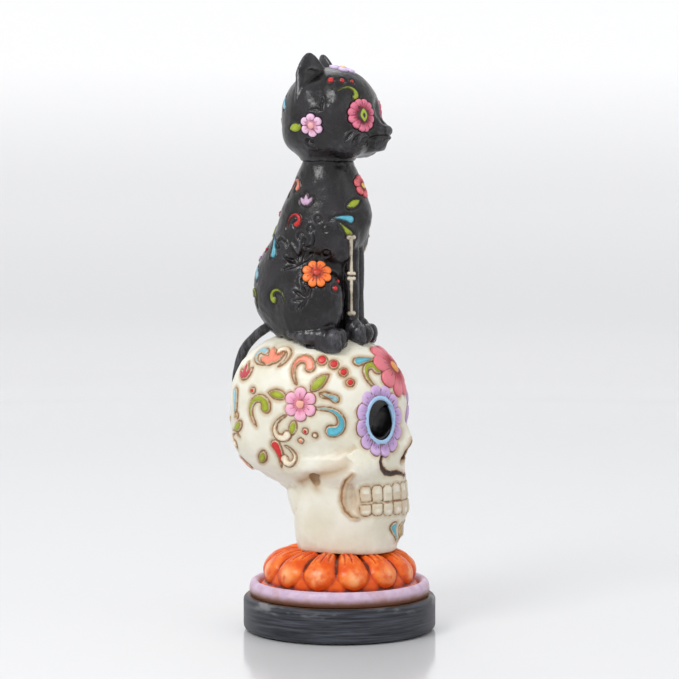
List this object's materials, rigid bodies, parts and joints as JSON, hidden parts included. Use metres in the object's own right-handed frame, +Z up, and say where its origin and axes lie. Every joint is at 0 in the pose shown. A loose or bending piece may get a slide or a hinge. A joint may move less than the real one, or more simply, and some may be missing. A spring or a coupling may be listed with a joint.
{
  "type": "skull figurine",
  "caption": "Painted cast figurine: a seated cat on top of a decorated human skull, standing in a petal collar on a round plinth, with flowers in relief.",
  "frame": {"origin": "centre of the underside of the felt pad that the figurine stands on", "axes": "+Z up through the plinth, the skull and the cat; the faces of the skull and the cat look along -Y; +X is the figurine's left"},
  "size_m": [0.068, 0.0757, 0.2031],
  "materials": {
    "black_paint": "cast resin painted charcoal black, satin, with a grey-blue dry-brush on what stands out",
    "bone_paint": "cast resin painted bone cream, satin, with a brown wash in its grooves",
    "orange_paint": "cast resin painted orange, satin, darker red-orange in its creases",
    "lilac_paint": "cast resin painted pale lilac, satin",
    "pink_paint": "cast resin painted pink, satin",
    "rose_paint": "cast resin painted rose red, satin",
    "felt": "thin self-adhesive black felt",
    "steel": "plain steel rod, hidden inside the castings"
  },
  "bodies": {
    "root": {"felt_pad": "felt", "plinth": "black_paint", "rim_band": "lilac_paint", "flower_collar": "orange_paint", "skull": "bone_paint", "cat_body": "black_paint", "cat_head": "black_paint", "cat_ear_right": "black_paint", "cat_ear_left": "black_paint", "cat_foreleg_right": "black_paint", "cat_foreleg_left": "black_paint", "cat_hind_paw_right": "black_paint", "cat_hind_paw_left": "black_paint", "cat_tail": "black_paint", "main_pin": "steel", "cat_pin": "steel", "neck_pin": "steel", "tail_pin": "steel", "skull_eye_flower_right": "lilac_paint", "skull_eye_flower_left": "lilac_paint", "skull_side_flower_right": "pink_paint", "skull_side_flower_left": "pink_paint", "skull_forehead_flower": "rose_paint", "cat_eye_flower_right": "rose_paint", "cat_eye_flower_left": "rose_paint", "cat_cheek_flower_right": "pink_paint", "cat_cheek_flower_left": "pink_paint", "cat_haunch_flower_right": "orange_paint", "cat_haunch_flower_left": "orange_paint", "cat_crown_flower": "lilac_paint", "cat_chest_flower": "rose_paint"}
  },
  "joints": []
}
